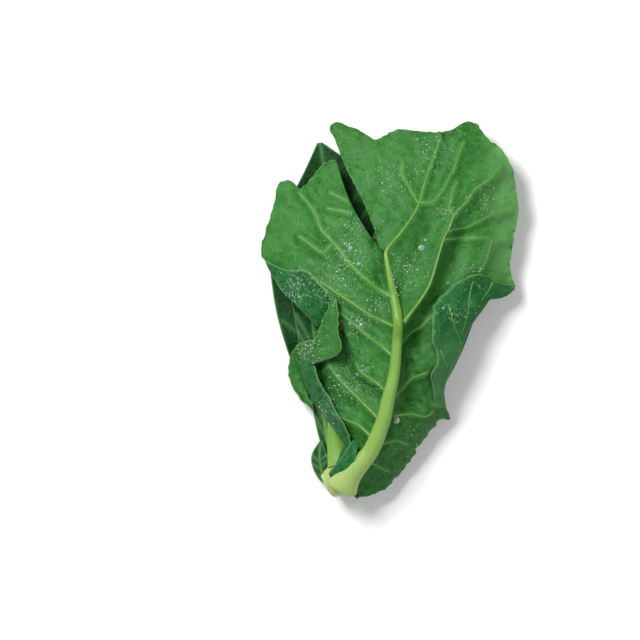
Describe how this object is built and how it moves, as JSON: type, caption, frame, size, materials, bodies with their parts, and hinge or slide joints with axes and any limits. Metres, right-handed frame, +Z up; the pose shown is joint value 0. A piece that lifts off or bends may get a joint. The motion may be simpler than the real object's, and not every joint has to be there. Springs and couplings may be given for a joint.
{
  "type": "spring cabbage",
  "caption": "Loose head of spring cabbage lying on its back leaf: broad ribbed green leaves with curled margins around a short pale cut stem.",
  "frame": {"origin": "bottom centre of the bounding box, on the surface that the head lies on", "axes": "+Y from the cut stem to the leaf tips, +Z up off the surface, +X to the right seen from above with the tips away"},
  "size_m": [0.1962, 0.2852, 0.0647],
  "materials": {
    "cut_stem": "pale moist plant flesh",
    "front_leaf": "mid green leaf underside, faint bluish bloom, pale veins",
    "dark_leaf": "deep blue-green leaf, satin",
    "heart_leaf": "light green young leaf, satin"
  },
  "bodies": {
    "root": {"stem": "cut_stem", "front_leaf": "front_leaf", "back_leaf": "dark_leaf", "right_leaf": "dark_leaf", "left_leaf": "dark_leaf", "heart_leaf_outer": "heart_leaf", "heart_leaf_inner": "heart_leaf", "inner_leaf": "heart_leaf", "base_leaf": "dark_leaf"}
  },
  "joints": []
}
